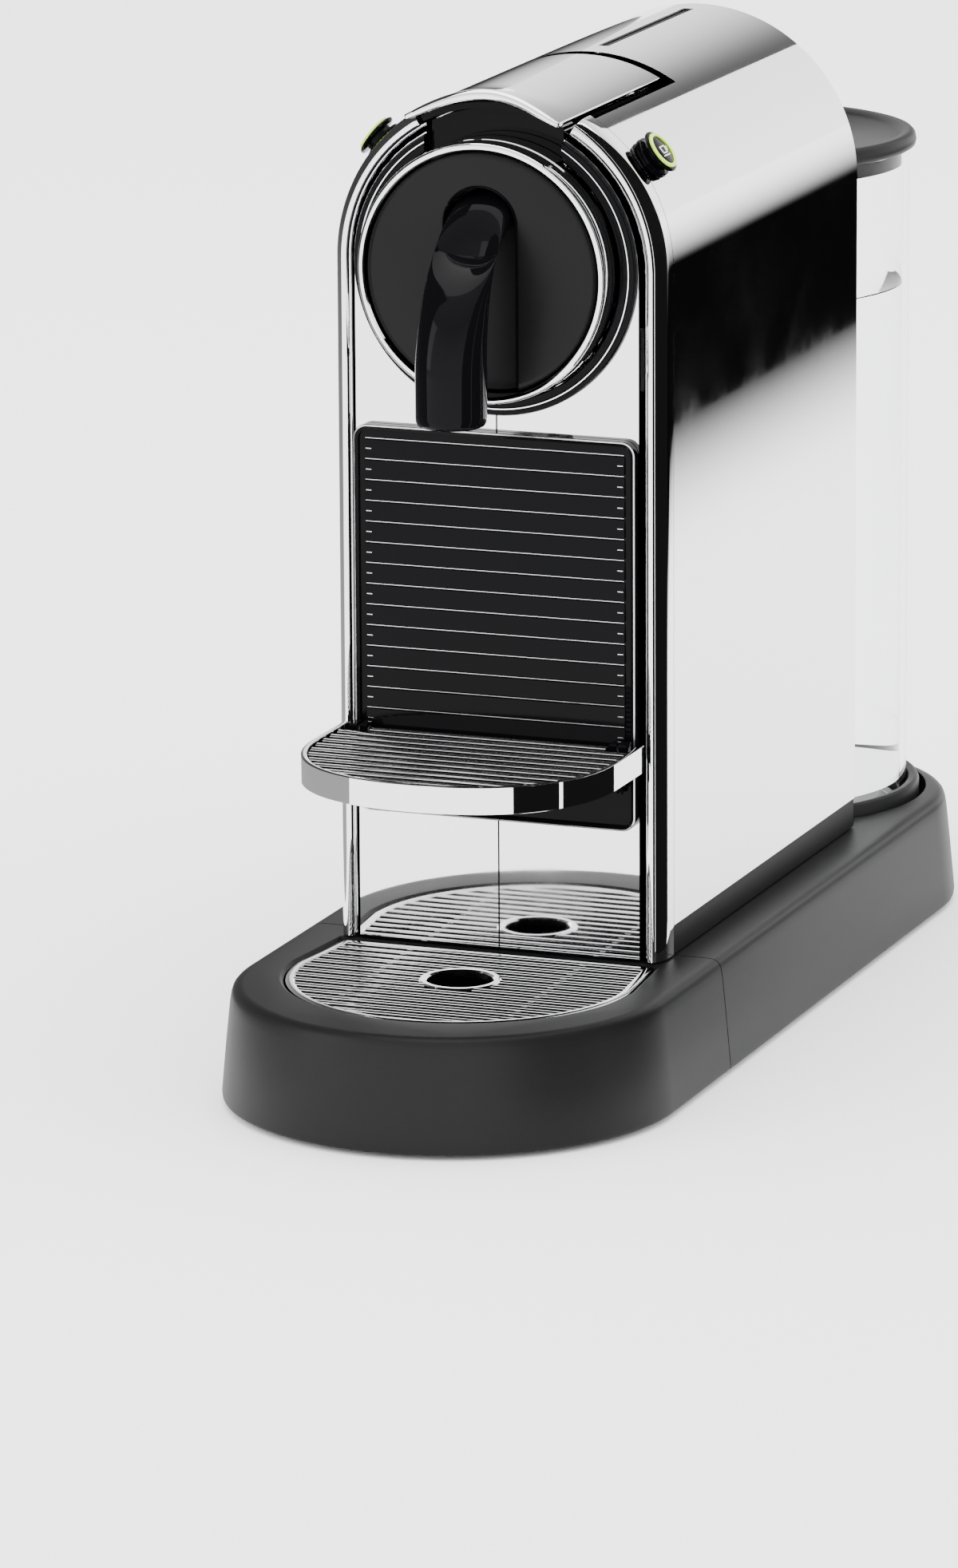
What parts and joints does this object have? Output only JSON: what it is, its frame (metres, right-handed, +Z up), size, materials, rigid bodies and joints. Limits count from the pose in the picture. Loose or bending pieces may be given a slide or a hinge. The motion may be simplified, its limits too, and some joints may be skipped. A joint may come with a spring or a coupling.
{
  "type": "pod coffee machine",
  "caption": "Chromed arch-shaped pod coffee machine on a long black base, with lifting lever, spout, folding cup support, pod drawer, drip tray and clear rear tank.",
  "frame": {"origin": "on the table, under the middle of the bounding box", "axes": "+X to the right of someone facing the spout, -Y out of the front, +Z up"},
  "size_m": [0.13, 0.372, 0.2794],
  "materials": {
    "mirror_chrome": "mirror polished",
    "gloss_black": "polished",
    "matt_black": "fine texture",
    "lime_ring": "translucent lime",
    "steel": "satin",
    "cast_aluminium": "as cast",
    "clear_plastic": "clear moulding",
    "black_rubber": "matt",
    "white_plastic": "moulded",
    "circuit_board": "solder mask"
  },
  "bodies": {
    "machine": {"body_shell": "mirror_chrome", "bottom_plate": "matt_black", "brew_frame": "matt_black", "brew_head": "matt_black", "button_collar_left": "gloss_black", "button_collar_right": "gloss_black", "chassis": "matt_black", "control_board": "circuit_board", "cord_gland": "black_rubber", "extraction_plate": "steel", "foot_front_left": "black_rubber", "foot_front_right": "black_rubber", "foot_rear_left": "black_rubber", "foot_rear_right": "black_rubber", "front_cowl": "gloss_black", "front_frame": "mirror_chrome", "front_panel_left": "mirror_chrome", "front_panel_right": "mirror_chrome", "head_disc": "gloss_black", "head_neck": "mirror_chrome", "head_ring": "gloss_black", "hose_to_brewer": "white_plastic", "hose_to_pump": "white_plastic", "plinth_strip": "matt_black", "pump": "white_plastic", "rear_base": "matt_black", "rear_cover": "matt_black", "side_frame_left": "matt_black", "side_frame_right": "matt_black", "spout": "gloss_black", "tank_collar": "matt_black", "thermoblock": "cast_aluminium", "valve_seal": "black_rubber", "vent_insert": "gloss_black"},
    "lever": {"lever_cover": "mirror_chrome", "lever_liner": "gloss_black", "lever_axle": "steel"},
    "brew_carriage": {"brew_cage": "cast_aluminium", "cage_pin": "steel"},
    "left_button": {"button_cap_left": "gloss_black", "button_ring_left": "lime_ring", "button_spring_left": "steel"},
    "right_button": {"button_cap_right": "gloss_black", "button_ring_right": "lime_ring", "button_spring_right": "steel"},
    "drip_tray": {"drip_base": "matt_black", "drip_bowl": "matt_black"},
    "drip_cover": {"drip_grid": "mirror_chrome"},
    "pod_drawer": {"drawer_front": "gloss_black", "drawer_bin": "matt_black", "cup_bracket": "gloss_black"},
    "cup_support": {"cup_rim": "mirror_chrome", "cup_grid": "mirror_chrome", "cup_tray": "gloss_black", "cup_hinge_pin_left": "steel", "cup_hinge_pin_right": "steel"},
    "tank": {"water_tank": "clear_plastic", "tank_valve": "black_rubber"},
    "lid": {"tank_lid": "matt_black"}
  },
  "joints": [
    {"name": "lever_hinge", "type": "hinge", "parent": "machine", "child": "lever", "pos_m": [0, -0.022, 0.264], "axis": [-1, 0, 0], "range_deg": [0, 80]},
    {"name": "cage_slide", "type": "slide", "parent": "machine", "child": "brew_carriage", "axis": [0, 1, 0], "range_m": [0, 0.031]},
    {"name": "left_button_press", "type": "slide", "parent": "machine", "child": "left_button", "axis": [0.7986, 0, -0.6018], "range_m": [0, 0.0015], "stiffness_N_per_m": 400},
    {"name": "right_button_press", "type": "slide", "parent": "machine", "child": "right_button", "axis": [-0.7986, 0, -0.6018], "range_m": [0, 0.0015], "stiffness_N_per_m": 400},
    {"name": "drip_tray_slide", "type": "slide", "parent": "machine", "child": "drip_tray", "axis": [0, -1, 0], "range_m": [0, 0.09]},
    {"name": "drip_grid_lift", "type": "slide", "parent": "drip_tray", "child": "drip_cover", "axis": [0, 0, 1], "range_m": [0, 0.03]},
    {"name": "pod_drawer_slide", "type": "slide", "parent": "machine", "child": "pod_drawer", "axis": [0, -1, 0], "range_m": [0, 0.075]},
    {"name": "cup_support_fold", "type": "hinge", "parent": "pod_drawer", "child": "cup_support", "pos_m": [0, -0.0915, 0.096], "axis": [-1, 0, 0], "range_deg": [0, 90]},
    {"name": "tank_lift", "type": "slide", "parent": "machine", "child": "tank", "axis": [0, 0, 1], "range_m": [0, 0.06]},
    {"name": "tank_lid_lift", "type": "slide", "parent": "tank", "child": "lid", "axis": [0, 0, 1], "range_m": [0, 0.03]}
  ],
  "couplings": [
    {"joint": "cage_slide", "follows": "lever_hinge", "m_per_rad": 0.022}
  ]
}
